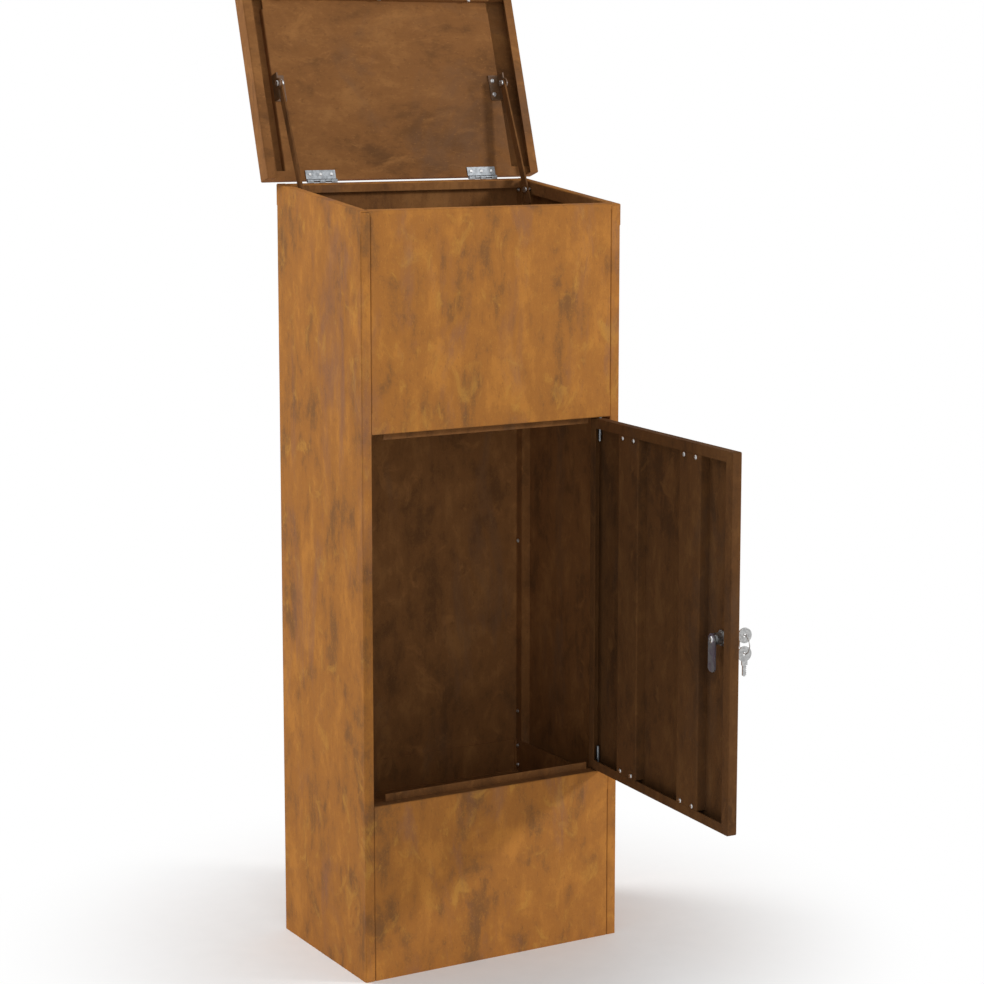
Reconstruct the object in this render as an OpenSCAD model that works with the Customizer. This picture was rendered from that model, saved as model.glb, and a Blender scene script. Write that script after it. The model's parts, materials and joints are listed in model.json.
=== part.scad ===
// Free-standing parcel mailbox of folded, rust-patinated sheet steel.
// Origin: centre of the footprint on the ground. +X right, +Y back, +Z up.
// The door and the lid are drawn standing open, as the box rests.

/* [Cabinet] */
// Outside width of the cabinet
cabinet_w = 410; // [350:1:520]
// Outside depth of the cabinet
cabinet_d = 260; // [230:1:340]
// Height of the cabinet at its front edge
front_h = 1067; // [900:1:1300]
// Height of the cabinet at its back edge
back_h = 1094; // [925:1:1330]
// Thickness of the folded sheet
sheet_t = 1.5; // [1.0:0.1:2.0]
// Inside radius of the folds
bend_r = 0.5; // [0.3:0.1:1.0]
// Width of the stiles and of the rim
stile_w = 15; // [12:1:20]
// Depth of the returns behind the front and back faces
return_d = 17; // [16:1:22]
// Drop of the rim's inner fold along the sides
side_rim_drop = 18; // [14:1:24]
// Drop of the rim's inner fold along the back
back_rim_drop = 12; // [8:1:18]

/* [Opening and floor] */
// Height of the opening's lower edge
opening_bottom = 250; // [200:1:320]
// Height of the opening's upper edge
opening_top = 766; // [650:1:830]
// Height of the door stop strips
stop_h = 10; // [6:1:14]
// Gap between a stop strip's end and the side of the opening
stop_end_gap = 26; // [22:1:40]
// Height of the parcel floor
floor_z = 184; // [120:1:200]
// Height of the floor's upturned edge
floor_edge_h = 51; // [20:1:60]
// Height of the base tray's upturned edge
base_edge_h = 25; // [15:1:40]
// Spacing of the ground anchors across the box
anchor_x = 300; // [200:1:320]
// Spacing of the ground anchors front to back
anchor_y = 160; // [120:1:190]
// Radius of a ground anchor hole
anchor_r = 5.5; // [4:0.5:8]

/* [Door] */
// Gap around the closed door
door_gap = 1.9; // [1.5:0.1:3]
// Thickness of the door
door_t = 15.6; // [14:0.1:16]
// Width of the lips inside the door and the lid
lip_w = 14; // [10:1:16]
// Pivot distance from the door's hinge edge
pivot_edge = 11; // [9:0.5:12]
// Pivot distance behind the door's face
pivot_depth = 6; // [5:0.5:7]
// Radius of the door's pivot pins
pivot_r = 2.25; // [1.5:0.25:3]
// How far the door stands open
door_open = 86.8; // [60:0.1:110]
// Width of a door stiffener
stiffener_w = 54; // [40:1:60]
// Centre of the first stiffener from the hinge edge
stiffener_near = 108; // [80:1:120]
// Centre of the second stiffener from the hinge edge
stiffener_far = 272; // [220:1:280]

/* [Lock] */
// Lock distance from the door's free edge
lock_edge = 38; // [36:1:40]
// Height of the lock
lock_z = 511; // [400:1:620]
// Radius of the lock's body
lock_r = 8; // [7:0.5:9]
// Radius of the lock's turning plug
plug_r = 5.5; // [5:0.5:6]
// Reach of the cam from the lock's axis
cam_reach = 44; // [43:1:48]
// Width of the cam
cam_w = 16; // [12:1:18]

/* [Lid] */
// Lid overhang at each side of the cabinet
lid_side = 17; // [16:0.5:30]
// Lid overhang at the front of the cabinet
lid_front = 21; // [18:0.5:60]
// Depth of the lid's edges
lid_t = 26; // [20:1:34]
// How far the lid stands open from closed
lid_open = 113.4; // [90:0.1:115]
// Depth of the lid's lips below its liner
lip_drop = 15.4; // [12:0.1:18]
// Hinge line distance behind the cabinet's back face
hinge_back = 2.7; // [2.7:0.1:4]
// Lid's rear edge distance in front of the hinge line
hinge_lead = 2.1; // [2:0.1:4]
// Width of a hinge
hinge_w = 47; // [36:1:60]
// Hinge centres from the middle of the box
hinge_x = 132; // [100:1:145]
// Hinge line height above the rim
hinge_rise = 2.3; // [2.2:0.1:4]

/* [Lid stays] */
// Stay centre from the middle of the box
stay_x = 183; // [165:0.5:183]
// Width of a stay
stay_w = 12; // [11:1:14]
// Thickness of a stay
stay_t = 2.5; // [2:0.5:3]
// Stay pivot distance from the hinge line
stay_pivot = 139.6; // [115:0.1:145]
// Stay pivot depth below the hinge line
stay_pivot_drop = 14.2; // [12:0.1:16]
// Stay length between its pivot and its stud
stay_reach = 170; // [150:1:175]
// How far a stay leans forward from upright
stay_lean = 23.8; // [20:0.1:26]

/* [Fits] */
// Clearance between pieces that move past each other
move_gap = 0.3; // [0.2:0.05:0.5]
// Radial clearance of a pin in its hole
run_gap = 0.05; // [0.02:0.01:0.1]
// Clearance round a stud in a stay's notch
notch_gap = 0.7; // [0.5:0.1:1]

/* [Hidden] */
$fn = 32;

rust = "#9a5f2c";
rust_dark = "#5c3a1c";
zinc = "#b8bcc0";
dark_steel = "#4a4038";

half_w = cabinet_w / 2;
half_d = cabinet_d / 2;
bay = half_w - stile_w;                  // half width of the bay between the stiles
inner_y = half_d - return_d;             // plane of the posts' inner faces
slope = atan((back_h - front_h) / cabinet_d);
fold_r = bend_r + sheet_t;               // outside radius of a fold
seam = 4 * fold_r;                       // where a folded edge meets its panel's main sheet
eps = 0.01;

// screws: radius of the shank, radius and height of the head
screw_r = 1.75;
head_r = 3.2;
head_h = 1.8;
post_screw_y = half_d - 6.7;             // row of screws in the posts
floor_screw_y = post_screw_y - 3;        // row of screws in the floor's edges
rear_screw_z = [front_h + 10, front_h - 17, (opening_top + opening_bottom) / 2 + 38, opening_bottom + 30];
upper_screw_z = [front_h - 40, opening_top + 34];
lower_screw_z = [floor_z - 24, base_edge_h + 35];
floor_screw_z = [floor_z + floor_edge_h - 9, floor_z + floor_edge_h - 39];

// door frame: the pivot is the local origin in plan
door_w = 2 * (bay - door_gap);
door_h = opening_top - opening_bottom - 2 * door_gap;
door_z = opening_bottom + door_gap;
pivot_x = bay - door_gap - pivot_edge;
pivot_y = -half_d + pivot_depth;
face_y = -pivot_depth;                   // outer face in the door frame
lips_y = door_t - pivot_depth;           // plane of the lips in the door frame
tongue_l = 12;
stiffener_screw_dx = 15;
stiffener_screw_dz = lip_w + 4;
pin_below = 33;                          // pivot pin inside the door
pin_above = 4.5;                         // pivot pin past the ledge

// lock, along its own axis from the door's face inwards
lock_x = pivot_edge - door_w + lock_edge;
lock_len = door_t - 1.6;
cam_y = return_d + move_gap;             // front of the cam behind the door's face
cam_t = 2.5;
cam_tail = 8;
bow_r = 10.5;
bow_t = 2;
bow_y = -32;                             // centre of the key's bow outside the door
bow_hole_r = 2.4;
ring_r = 12.5;
ring_wire_r = 0.7;
key_ring_z = -ring_r;                    // ring centre below the bow's hole

// lid frame: the hinge line is the local origin, +Z away from the box when closed
axis_y = half_d + hinge_back;
axis_z = back_h + hinge_back * tan(slope) + hinge_rise / cos(slope);
lid_w = cabinet_w + 2 * lid_side;
lid_l = (cabinet_d + hinge_back) / cos(slope) + lid_front - hinge_lead;
leaf_t = 1.2;
barrel_r = 2.7;
liner_under = barrel_r;                  // underside of the lid's liner above the hinge line
lip_plane = liner_under - lip_drop;      // plane of the lid's lips
lid_top = lip_plane + lid_t;
plate_under = lid_top - sheet_t;
hinge_pin_r = 1.4;
fixed_leaf_l = 20;
lid_leaf_l = 16;
leaf_screw_r = 1.4;
leaf_head_r = 2.4;
leaf_head_h = 0.9;
rail_tab = 14;
rail_screw_x = [-150, 0, 150];
rail_screw_z = liner_under - 9;
rail_y = hinge_lead + lid_l - lip_w;     // rear face of the front rail from the hinge line

// stays and brackets
bracket_t = 2;
bracket_l = 38;
bracket_foot = 18;
bracket_back = 2.5;                      // bracket's middle behind the stay's pivot
bracket_lift = 8;                        // bracket past the hinge plane
bolt_r = 3;
bolt_head_r = 4.5;
bolt_head_h = 2.5;
nut_h = 2.5;
stay_in = stay_x - stay_t / 2;
stay_out = stay_x + stay_t / 2;
web_in = stay_out + move_gap;
liner_x = web_in + bracket_t;            // half width of the liner between the slots at its sides
stud_r = 2.5;
stay_tail = 22;                          // stay past its stud
lid_turn = slope - lid_open;
bolt_y = axis_y - stay_pivot * cos(lid_turn) + stay_pivot_drop * sin(lid_turn);
bolt_z = axis_z - stay_pivot * sin(lid_turn) - stay_pivot_drop * cos(lid_turn);
stud_y = bolt_y - stay_reach * sin(stay_lean);
stud_z = bolt_z - stay_reach * cos(stay_lean);

// ---------- shared shapes ----------

// Sheet folded along a path and h tall. Each run is [length of its outer face, turn at its end].
// The sheet lies to the left of the path; a positive turn folds to the left.
module sheet_path(runs, h, i = 0, used = 0) {
    turn = runs[i][1];
    radius = turn > 0 ? fold_r : bend_r;
    tangent = turn == 0 ? 0 : radius * tan(abs(turn) / 2);
    flat = runs[i][0] - used - tangent;
    cube([flat, sheet_t, h]);
    if (i < len(runs) - 1) {
        centre_y = turn > 0 ? fold_r : -bend_r;
        start = turn > 0 ? -90 : 90 + turn;
        end = turn > 0 ? turn - 90 : 90 + turn;
        translate([flat, centre_y, 0]) rotate(start) rotate_extrude(angle = abs(turn))
            translate([bend_r, 0]) square([sheet_t, h]);
        translate([flat + radius * cos(end), centre_y + radius * sin(end), 0]) rotate(turn)
            sheet_path(runs, h, i + 1, tangent);
    }
}

// Lays a path drawn in plan upright in the Y-Z plane, extruded along +X.
module across() {
    rotate([90, 0, 90]) children();
}

// Lays a path drawn in plan upright in the X-Z plane, extruded along -Y.
module along() {
    rotate([90, 0, 0]) children();
}

// Closed corner of a folded tray.
module tray_corner(d) {
    translate([0, 0, fold_r]) {
        cylinder(r = fold_r, h = d - 2 * fold_r);
        sphere(r = fold_r);
        translate([0, 0, d - 2 * fold_r]) sphere(r = fold_r);
    }
}

// Folded tray with inward lips: face down at z = 0, w along X and h along Y.
module tray(w, h, d, lip, open_end = false) {
    side_runs = [[lip, 90], [d, 90], [w, 90], [d, 90], [lip, 0]];
    end_runs = open_end ? [[lip, 90], [d, 90], [h, 0]] : [[lip, 90], [d, 90], [h, 90], [d, 90], [lip, 0]];
    side_l = open_end ? h - fold_r : h - 2 * fold_r;
    translate([lip, fold_r + side_l, d]) along() rotate(180) sheet_path(side_runs, side_l);
    translate([fold_r, lip, d]) across() rotate(180) sheet_path(end_runs, w - 2 * fold_r);
    for (x = [fold_r, w - fold_r], y = open_end ? [fold_r] : [fold_r, h - fold_r])
        translate([x, y, 0]) tray_corner(d);
}

// Everything below the rim's plane lowered by drop, over the whole box.
module below_rim(drop) {
    margin = 100;
    translate([-half_w - margin, 0, 0]) across() linear_extrude(cabinet_w + 2 * margin)
        polygon([[-half_d - margin, -margin], [half_d + margin, -margin],
            [half_d + margin, back_h + margin * tan(slope) - drop],
            [-half_d - margin, front_h - margin * tan(slope) - drop]]);
}

// Screw with a pan head: the head rests on z = 0 and the shank runs down.
module pan_screw(shank_l, r = screw_r, hr = head_r, hh = head_h) {
    translate([0, 0, -shank_l]) cylinder(r = r, h = shank_l + eps);
    difference() {
        union() {
            cylinder(r = hr, h = hh / 2);
            translate([0, 0, hh / 2]) cylinder(r1 = hr, r2 = hr * 0.72, h = hh / 2, $fn = 32);
        }
        for (a = [0, 90]) rotate(a) translate([-hr * 0.5, -0.3, hh * 0.5]) cube([hr, 0.6, hh]);
    }
}

// Places of the screws in the corner posts, one side of the box.
module post_screw_places(side) {
    for (z = rear_screw_z) translate([side * (bay - sheet_t), post_screw_y, z]) children();
    for (z = concat(upper_screw_z, lower_screw_z))
        translate([side * (bay - sheet_t), -post_screw_y, z]) children();
}

// Places of the screws that hold the floor to the posts.
module floor_screw_places(side) {
    for (z = floor_screw_z, y = [-floor_screw_y, floor_screw_y])
        translate([side * (bay - 2 * sheet_t), y, z]) children();
}

module post_screw_holes() {
    for (side = [-1, 1]) {
        post_screw_places(side) rotate([0, 90, 0]) cylinder(r = screw_r, h = 30, center = true);
        floor_screw_places(side) rotate([0, 90, 0]) cylinder(r = screw_r, h = 30, center = true);
    }
}

// ---------- cabinet ----------

module side_panel() {
    post_w = stile_w - sheet_t - move_gap;
    rim_l = cabinet_d / cos(slope) + 40;
    color(rust) difference() {
        union() {
            intersection() {
                below_rim(fold_r);
                translate([half_w - sheet_t - move_gap, -inner_y, 0]) rotate(180)
                    sheet_path([[post_w, 90], [return_d, 90], [stile_w, 90], [cabinet_d, 90],
                        [stile_w, 90], [return_d, 90], [post_w, 0]], back_h + 20);
            }
            intersection() {
                translate([0, -half_d, 0]) cube([cabinet_w, cabinet_d, back_h + 20]);
                translate([half_w, -half_d, front_h]) rotate([slope, 0, 0])
                    translate([0, rim_l - 20, -30]) along() rotate(90)
                    sheet_path([[30, 90], [stile_w, 90], [fold_r + 1, 0]], rim_l);
            }
            intersection() {
                translate([0, -inner_y, 0]) cube([cabinet_w, 2 * inner_y, back_h + 20]);
                translate([half_w, -half_d, front_h]) rotate([slope, 0, 0])
                    translate([0, rim_l - 20, -30]) along() rotate(90)
                    sheet_path([[30, 90], [stile_w, 90], [side_rim_drop, 0]], rim_l);
            }
        }
        post_screw_holes();
        translate([0, stud_y, stud_z]) rotate([0, 90, 0]) cylinder(r = stud_r, h = bay + sheet_t + 1);
    }
}

module left_side_panel() {
    mirror([1, 0, 0]) side_panel();
}

module right_side_panel() {
    side_panel();
}

module back_panel() {
    color(rust) difference() {
        union() {
            intersection() {
                below_rim(2 * fold_r);
                translate([bay, inner_y, 0]) rotate(90)
                    sheet_path([[return_d, 90], [2 * bay, 90], [return_d, 0]], back_h + 20);
            }
            rim_fold(back_h, slope, back_rim_drop);
        }
        post_screw_holes();
        for (side = [-1, 1]) fixed_leaf_screw_places(side)
            translate([0, 0, -6]) cylinder(r = leaf_screw_r, h = 8);
    }
}

// Points along an arc about c, from angle a to angle b.
function arc_points(c, r, a, b, n = 6) = [for (i = [0:n]) let(t = a + (b - a) * i / n) c + r * [cos(t), sin(t)]];

// Section of the rim's folded edge at the back: up the panel, forward along the rim and down.
function rim_profile(top, lean, drop) = let(
    up = 90 + lean,
    rise = fold_r / cos(lean),
    outer = [half_d - fold_r, top - fold_r * tan(lean) - rise],
    inner = [half_d - stile_w + fold_r, top - (stile_w - fold_r) * tan(lean) - rise],
    end = top - stile_w * tan(lean) - drop)
    concat([[half_d, top - seam]], arc_points(outer, fold_r, 0, up), arc_points(inner, fold_r, up, 180),
        [[half_d - stile_w, end], [half_d - stile_w + sheet_t, end]],
        arc_points(inner, bend_r, 180, up), arc_points(outer, bend_r, up, 0),
        [[half_d - sheet_t, top - seam]]);

// Folded edge across the box; a positive lean falls towards the middle of the box.
module rim_fold(top, lean, drop) {
    translate([-bay, 0, 0]) across() linear_extrude(2 * bay) polygon(rim_profile(top, lean, drop));
}

// Stop strip between the ends of the opening, drawn in the mirrored Y-Z plane.
module stop_strip(runs) {
    translate([-bay + stop_end_gap, 0, 0]) across() rotate(90) sheet_path(runs, 2 * (bay - stop_end_gap));
}

module upper_front_panel() {
    color(rust) difference() {
        mirror([0, 1, 0]) union() {
            intersection() {
                mirror([0, 1, 0]) below_rim(2 * fold_r);
                translate([bay, inner_y, opening_top + fold_r]) rotate(90)
                    sheet_path([[return_d, 90], [2 * bay, 90], [return_d, 0]], back_h);
            }
            rim_fold(front_h, -slope, side_rim_drop);
            translate([-bay, inner_y, opening_top]) across()
                sheet_path([[return_d, 90], [30, 0]], 2 * bay);
            translate([0, inner_y, opening_top - stop_h])
                stop_strip([[stop_h, -90], [return_d / 2, 0]]);
        }
        post_screw_holes();
        translate([pivot_x, pivot_y, opening_top - 5]) cylinder(r = pivot_r + run_gap, h = 15);
    }
}

module lower_front_panel() {
    color(rust) difference() {
        mirror([0, 1, 0]) union() {
            translate([bay, inner_y, 0]) rotate(90)
                sheet_path([[return_d, 90], [2 * bay, 90], [return_d, 0]], opening_bottom - fold_r);
            translate([-bay, half_d, opening_bottom - 30]) across() rotate(90)
                sheet_path([[30, 90], [return_d, 0]], 2 * bay);
            translate([0, inner_y + return_d / 2, opening_bottom]) rotate([0, 0, 0])
                translate([-bay + stop_end_gap, 0, 0]) across() rotate(180)
                sheet_path([[return_d / 2, -90], [stop_h, 0]], 2 * (bay - stop_end_gap));
        }
        post_screw_holes();
        translate([pivot_x, pivot_y, opening_bottom - 10]) cylinder(r = pivot_r + run_gap, h = 15);
    }
}

// Open tray between the front and back panels: bottom at z = 0, edge turned up on all sides.
module inner_tray(edge_h) {
    w = 2 * (bay - sheet_t);
    d = cabinet_d - 2 * sheet_t;
    translate([-w / 2, d / 2 - fold_r, edge_h]) along() rotate(-90)
        sheet_path([[edge_h, 90], [w, 90], [edge_h, 0]], d - 2 * fold_r);
    translate([-w / 2 + fold_r, -d / 2, edge_h]) across() rotate(-90)
        sheet_path([[edge_h, 90], [d, 90], [edge_h, 0]], w - 2 * fold_r);
    for (x = [-1, 1], y = [-1, 1]) translate([x * (w / 2 - fold_r), y * (d / 2 - fold_r), fold_r]) {
        cylinder(r = fold_r, h = edge_h - fold_r);
        sphere(r = fold_r);
    }
}

module floor_tray() {
    color(rust_dark) difference() {
        translate([0, 0, floor_z]) inner_tray(floor_edge_h);
        post_screw_holes();
    }
}

module base_tray() {
    color(rust_dark) difference() {
        inner_tray(base_edge_h);
        for (x = [-1, 1], y = [-1, 1]) translate([x * anchor_x / 2, y * anchor_y / 2, -1])
            cylinder(r = anchor_r, h = sheet_t + 2);
    }
}

module panel_screws() {
    color(zinc) for (side = [-1, 1]) {
        post_screw_places(side) rotate([0, -side * 90, 0]) pan_screw(2 * sheet_t);
        floor_screw_places(side) rotate([0, -side * 90, 0]) pan_screw(3 * sheet_t);
    }
}

// Headed studs on the rim's inner folds that the stays hook over.
module stay_studs() {
    head_in = stay_in - move_gap;
    color(zinc) for (side = [-1, 1]) translate([side * head_in, stud_y, stud_z])
        rotate([0, side * 90, 0]) {
            cylinder(r = stud_r, h = bay + sheet_t - head_in);
            translate([0, 0, -2]) cylinder(r = stud_r + 2, h = 2);
        }
}

module pivot_washer() {
    color("white") translate([pivot_x, pivot_y, opening_bottom]) difference() {
        cylinder(r = 5, h = door_gap - move_gap);
        translate([0, 0, -1]) cylinder(r = pivot_r + run_gap, h = door_gap + 2);
    }
}

// ---------- lid hinges ----------

// Upright frame at the hinge line.
module at_hinge() {
    translate([0, axis_y, axis_z]) children();
}

// Frame of the lid at the hinge line: closed its +Z is square to the rim.
module at_lid() {
    translate([0, axis_y, axis_z]) rotate([lid_turn, 0, 0]) children();
}

module fixed_leaf_screw_places(side) {
    at_hinge() for (k = [-1, 0, 1])
        translate([side * hinge_x + k * hinge_w * 0.36, leaf_t - hinge_back, -fixed_leaf_l * 0.62])
            rotate([-90, 0, 0]) children();
}

module lid_leaf_screw_places(side) {
    at_lid() for (k = [-1, 0, 1])
        translate([side * hinge_x + k * hinge_w * 0.36, -lid_leaf_l * 0.61, liner_under - leaf_t])
            rotate([180, 0, 0]) children();
}

// One knuckle of the barrel, from x0 and w long, with the pin's bore.
module knuckle(x0, w, bore_r) {
    translate([x0, 0, 0]) rotate([0, 90, 0]) difference() {
        cylinder(r = barrel_r, h = w);
        translate([0, 0, -1]) cylinder(r = bore_r, h = w + 2);
    }
}

// Slices of the barrel: the fixed leaf has the first, third and fifth, the lid leaf the others.
module fixed_leaf(side) {
    slice = hinge_w / 5;
    x0 = side * hinge_x - hinge_w / 2;
    color(zinc) difference() {
        at_hinge() {
            difference() {
                union() {
                    translate([x0, -hinge_back, -fixed_leaf_l]) cube([hinge_w, leaf_t, fixed_leaf_l - 1]);
                    for (k = [0, 2, 4]) translate([x0 + k * slice, 0, 0]) {
                        rotate([0, 90, 0]) cylinder(r = barrel_r, h = slice);
                        translate([0, -hinge_back, -barrel_r]) cube([slice, hinge_back, barrel_r]);
                    }
                }
                translate([x0 - 1, 0, 0]) rotate([0, 90, 0]) cylinder(r = hinge_pin_r, h = hinge_w + 2);
                for (k = [1, 3]) translate([x0 + k * slice - move_gap, -hinge_back - 1, -barrel_r - move_gap])
                    cube([slice + 2 * move_gap, hinge_back + barrel_r + 2, 2 * barrel_r + 2]);
            }
        }
        fixed_leaf_screw_places(side) translate([0, 0, -leaf_t - 1]) cylinder(r = leaf_screw_r, h = leaf_t + 2);
    }
}

module left_hinge_fixed_leaf() {
    fixed_leaf(-1);
}

module right_hinge_fixed_leaf() {
    fixed_leaf(1);
}

module lid_leaf(side) {
    slice = hinge_w / 5;
    x0 = side * hinge_x - hinge_w / 2;
    knuckle_w = slice - 2 * move_gap;
    plate_start = barrel_r + move_gap;
    color(zinc) difference() {
        at_lid() {
            translate([x0, -lid_leaf_l, liner_under - leaf_t]) cube([hinge_w, lid_leaf_l - plate_start, leaf_t]);
            for (k = [1, 3]) translate([x0 + k * slice + move_gap, 0, 0]) {
                knuckle(0, knuckle_w, hinge_pin_r + run_gap);
                difference() {
                    translate([0, -plate_start - 1, liner_under - leaf_t]) cube([knuckle_w, plate_start + 1, leaf_t]);
                    translate([-1, 0, 0]) rotate([0, 90, 0])
                        cylinder(r = hinge_pin_r + run_gap, h = knuckle_w + 2);
                }
            }
        }
        lid_leaf_screw_places(side) translate([0, 0, -leaf_t - 1]) cylinder(r = leaf_screw_r, h = leaf_t + 2);
    }
}

module left_hinge_lid_leaf() {
    lid_leaf(-1);
}

module right_hinge_lid_leaf() {
    lid_leaf(1);
}

module hinge_pins() {
    color(zinc) at_hinge() for (side = [-1, 1])
        translate([side * hinge_x - hinge_w / 2 - 0.5, 0, 0]) rotate([0, 90, 0])
            cylinder(r = hinge_pin_r, h = hinge_w + 1);
}

module fixed_leaf_screws() {
    color(zinc) for (side = [-1, 1]) fixed_leaf_screw_places(side)
        pan_screw(leaf_t + sheet_t, leaf_screw_r, leaf_head_r, leaf_head_h);
}

module lid_leaf_screws() {
    color(zinc) for (side = [-1, 1]) lid_leaf_screw_places(side)
        pan_screw(leaf_t + sheet_t, leaf_screw_r, leaf_head_r, leaf_head_h);
}

// ---------- lid ----------

module lid_rail_screw_places() {
    at_lid() for (x = rail_screw_x) translate([x, sheet_t - rail_y, rail_screw_z]) rotate([-90, 0, 0]) children();
}

module lid_corner_screw_places() {
    at_lid() for (side = [-1, 1])
        translate([side * (lid_w / 2 - 5.5), -hinge_lead - lid_l + 8, lip_plane]) rotate([180, 0, 0]) children();
}

module bracket_screw_places(side) {
    at_lid() for (k = [-1, 1])
        translate([side * (web_in - 10.2), bracket_back - stay_pivot + k * 10.4, liner_under - bracket_t])
            rotate([180, 0, 0]) children();
}

module lid_panel() {
    color(rust) difference() {
        at_lid() translate([-lid_w / 2, -hinge_lead, lid_top]) rotate([180, 0, 0])
            tray(lid_w, lid_l, lid_t, lip_w, open_end = true);
        at_lid() translate([lip_w - lid_w / 2, -hinge_lead - lip_w - 0.5, lip_plane - 1])
            cube([lid_w - 2 * lip_w, lip_w + 1.5, lip_drop + 1]);
        lid_corner_screw_places() translate([0, 0, -2]) cylinder(r = screw_r, h = 4);
    }
}

// Shallow pan under the lid's sheet, full width only along the hinges, with its front edge turned
// down against the rail. Its rear corners are notched clear of the lid's folds.
module lid_liner() {
    strip_w = lid_w - 2 * sheet_t;
    front_edge = 12;
    relief = 2 * fold_r - sheet_t + 0.2;
    color(rust) difference() {
        at_lid() {
            translate([-strip_w / 2, -hinge_lead - lip_w, liner_under])
                cube([strip_w, lip_w - sheet_t - relief, sheet_t]);
            translate([relief - strip_w / 2, -hinge_lead - lip_w, liner_under])
                cube([strip_w - 2 * relief, lip_w - sheet_t, sheet_t]);
            translate([-liner_x, -hinge_lead - lip_w + fold_r, plate_under]) along() rotate(-90)
                sheet_path([[plate_under - liner_under, 90], [2 * liner_x, 90],
                    [plate_under - liner_under, 0]], rail_y - hinge_lead - lip_w - rail_tab);
            mirror([0, 1, 0]) translate([fold_r - liner_x, rail_y, liner_under + sheet_t - front_edge]) across()
                rotate(90) sheet_path([[front_edge, 90], [rail_y - hinge_lead - sheet_t, 0]],
                    2 * (liner_x - fold_r));
        }
        lid_rail_screw_places() translate([0, 0, -4]) cylinder(r = screw_r, h = 8);
        for (side = [-1, 1]) {
            bracket_screw_places(side) translate([0, 0, -bracket_t - 3]) cylinder(r = screw_r, h = 8);
            lid_leaf_screw_places(side) translate([0, 0, -4]) cylinder(r = leaf_screw_r, h = 8);
        }
    }
}

// Box-shaped rail that closes the lid's front edge, inside the folded sheet.
module lid_front_rail() {
    rail_w = lid_w - 2 * sheet_t;
    rail_h = lid_t - 2 * sheet_t;
    color(rust) difference() {
        at_lid() mirror([0, 1, 0]) translate([-rail_w / 2, rail_y, liner_under]) across() rotate(-90)
            sheet_path([[lip_drop - sheet_t, 90], [lip_w, 90], [rail_h, 90], [rail_tab, 0]], rail_w);
        lid_rail_screw_places() translate([0, 0, -4]) cylinder(r = screw_r, h = 8);
        lid_corner_screw_places() translate([0, 0, -5]) cylinder(r = screw_r, h = 8);
    }
}

module lid_rail_screws() {
    color(zinc) {
        lid_rail_screw_places() pan_screw(2 * sheet_t);
        lid_corner_screw_places() pan_screw(2 * sheet_t);
    }
}

// ---------- lid stays ----------

module stay_bracket(side) {
    rear = bracket_back - stay_pivot - bracket_l / 2;
    color(dark_steel) difference() {
        at_lid() mirror([side < 0 ? 1 : 0, 0, 0]) {
            translate([web_in + bracket_t - bracket_foot, rear, liner_under - bracket_t])
                cube([bracket_foot, bracket_l, bracket_t]);
            translate([web_in, rear, -stay_pivot_drop])
                cube([bracket_t, bracket_l, liner_under + stay_pivot_drop]);
            translate([web_in, -stay_pivot, -stay_pivot_drop]) rotate([0, 90, 0])
                cylinder(r = bracket_lift, h = bracket_t);
        }
        at_lid() translate([side * web_in, -stay_pivot, -stay_pivot_drop]) rotate([0, 90, 0])
            cylinder(r = bolt_r, h = 20, center = true);
        bracket_screw_places(side) translate([0, 0, -bracket_t - 1]) cylinder(r = screw_r, h = bracket_t + 2);
    }
}

module left_stay_bracket() {
    stay_bracket(-1);
}

module right_stay_bracket() {
    stay_bracket(1);
}

module bracket_screws() {
    color(zinc) for (side = [-1, 1]) bracket_screw_places(side) pan_screw(bracket_t + sheet_t);
}

module stay_bolts() {
    bolt_l = web_in + bracket_t + nut_h - (stay_in - move_gap);
    color(zinc) at_lid() for (side = [-1, 1])
        translate([side * (stay_in - move_gap), -stay_pivot, -stay_pivot_drop]) rotate([0, side * 90, 0]) {
            cylinder(r = bolt_r, h = bolt_l);
            translate([0, 0, -bolt_head_h]) cylinder(r = bolt_head_r, h = bolt_head_h);
        }
}

module stay_bolt_nuts() {
    color(zinc) at_lid() for (side = [-1, 1])
        translate([side * (web_in + bracket_t), -stay_pivot, -stay_pivot_drop]) rotate([0, side * 90, 0])
        difference() {
            cylinder(r = bolt_head_r, h = nut_h, $fn = 6);
            translate([0, 0, -1]) cylinder(r = bolt_r, h = nut_h + 2);
        }
}

// Flat stay hanging from its bolt, with a notch in its back edge for the stud.
module lid_stay(side) {
    notch_r = stud_r + notch_gap;
    total = stay_reach + stay_tail;
    color(rust_dark) translate([side * stay_x, bolt_y, bolt_z]) rotate([-stay_lean, 0, 0])
        rotate([90, 0, 90]) translate([0, 0, -stay_t / 2]) difference() {
            union() {
                cylinder(r = stay_w / 2, h = stay_t);
                translate([-stay_w / 2, -total + stay_w / 2, 0]) cube([stay_w, total - stay_w / 2, stay_t]);
                translate([0, -total + stay_w / 2, 0]) cylinder(r = stay_w / 2, h = stay_t);
            }
            translate([0, 0, -1]) cylinder(r = bolt_r + run_gap, h = stay_t + 2);
            translate([0, -stay_reach, -1]) {
                cylinder(r = notch_r, h = stay_t + 2);
                linear_extrude(stay_t + 2) polygon([[0, -notch_r], [stay_w, -notch_r],
                    [stay_w, notch_r + stay_w * tan(28)], [0, notch_r]]);
            }
        }
}

module left_lid_stay() {
    lid_stay(-1);
}

module right_lid_stay() {
    lid_stay(1);
}

// ---------- door ----------

module at_door() {
    translate([pivot_x, pivot_y, 0]) rotate(door_open) children();
}

module stiffener_screw_places() {
    at_door() for (c = [stiffener_near, stiffener_far], k = [-1, 1],
        z = [door_z + stiffener_screw_dz, door_z + door_h - stiffener_screw_dz])
        translate([pivot_edge - c + k * stiffener_screw_dx, lips_y, z]) rotate([-90, 0, 0]) children();
}

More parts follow.
